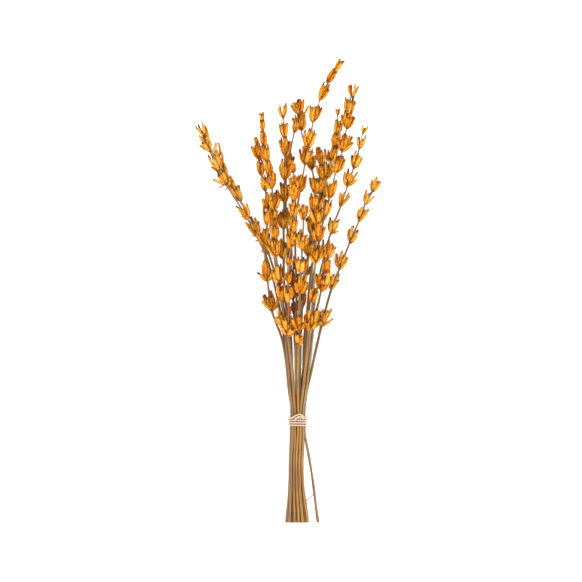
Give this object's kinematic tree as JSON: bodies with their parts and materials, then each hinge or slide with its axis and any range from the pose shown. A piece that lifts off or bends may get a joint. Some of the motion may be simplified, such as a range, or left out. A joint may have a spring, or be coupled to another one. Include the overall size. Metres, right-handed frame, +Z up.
{
  "type": "preserved lavender bunch",
  "caption": "Bunch of dyed preserved lavender on long bare stems, held by wrapped twine, lying on a flat surface.",
  "frame": {"origin": "middle of the bunch's bounding box, on the surface that it lies on", "axes": "+Y from the cut ends to the tips, +X to the bunch's right as seen from above with the tips up, +Z up"},
  "size_m": [0.1598, 0.3996, 0.0716],
  "materials": {
    "dyed_lavender": "dry and matte",
    "twine": "matte twisted cotton"
  },
  "bodies": {
    "root": {"spray_01": "dyed_lavender", "spray_02": "dyed_lavender", "spray_03": "dyed_lavender", "spray_04": "dyed_lavender", "spray_05": "dyed_lavender", "spray_06": "dyed_lavender", "spray_07": "dyed_lavender", "spray_08": "dyed_lavender", "spray_09": "dyed_lavender", "spray_10": "dyed_lavender", "spray_11": "dyed_lavender", "spray_12": "dyed_lavender", "spray_13": "dyed_lavender", "spray_14": "dyed_lavender", "spray_15": "dyed_lavender", "spray_16": "dyed_lavender", "spray_17": "dyed_lavender", "spray_18": "dyed_lavender", "spray_19": "dyed_lavender", "twine_tie": "twine"}
  },
  "joints": []
}
